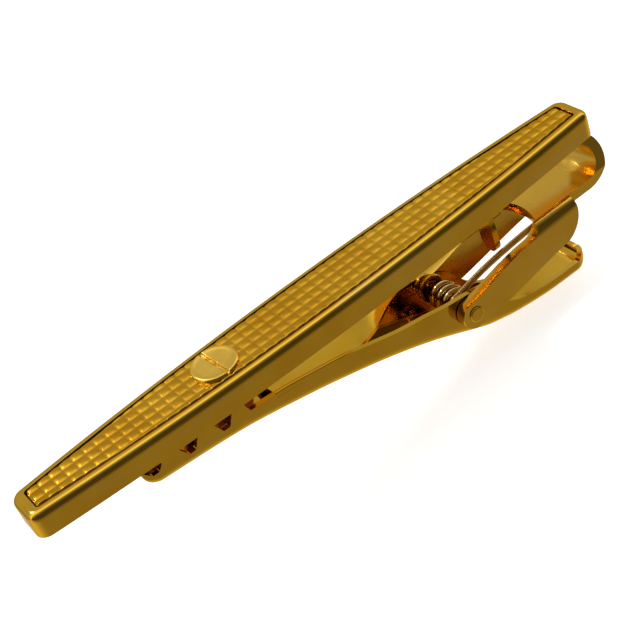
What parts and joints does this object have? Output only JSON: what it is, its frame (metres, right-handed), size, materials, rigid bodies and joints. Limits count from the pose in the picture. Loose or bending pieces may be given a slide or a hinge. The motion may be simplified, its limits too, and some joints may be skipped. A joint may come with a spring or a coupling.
{
  "type": "tie clip",
  "caption": "Spring-loaded alligator tie clip: bowed metal bar with grooved inlay and slotted stud, bent strip bracket with ears, toothed jaw lever on a pin with torsion spring.",
  "frame": {"origin": "middle of the bar's flat back, in the plane where the jaw's teeth grip the tie", "axes": "+X along the bar from the open end towards the bent strip, +Y across the bar, +Z out of the decorated face"},
  "size_m": [0.0614, 0.0078, 0.0153],
  "materials": {
    "polished_gold_plate": "polished gold plate over brass",
    "satin_gold_inlay": "satin gold plate, slightly worn",
    "pale_gold_stud": "polished pale gold",
    "plated_spring_steel": "gold-plated spring wire"
  },
  "bodies": {
    "bar_and_bracket": {"bar_body": "polished_gold_plate", "textured_inlay": "satin_gold_inlay", "slotted_screw": "pale_gold_stud", "spring_bracket": "polished_gold_plate", "hinge_pin": "polished_gold_plate", "torsion_spring": "plated_spring_steel"},
    "jaw": {"jaw_lever": "polished_gold_plate"}
  },
  "joints": [
    {"name": "jaw_hinge", "type": "hinge", "parent": "bar_and_bracket", "child": "jaw", "pos_m": [0.01215, 0, -0.00755], "axis": [0, -1, 0], "range_deg": [0, 20], "stiffness_Nm_per_rad": 0.05, "springref_deg": -5.73, "deforming": ["torsion_spring"]}
  ]
}
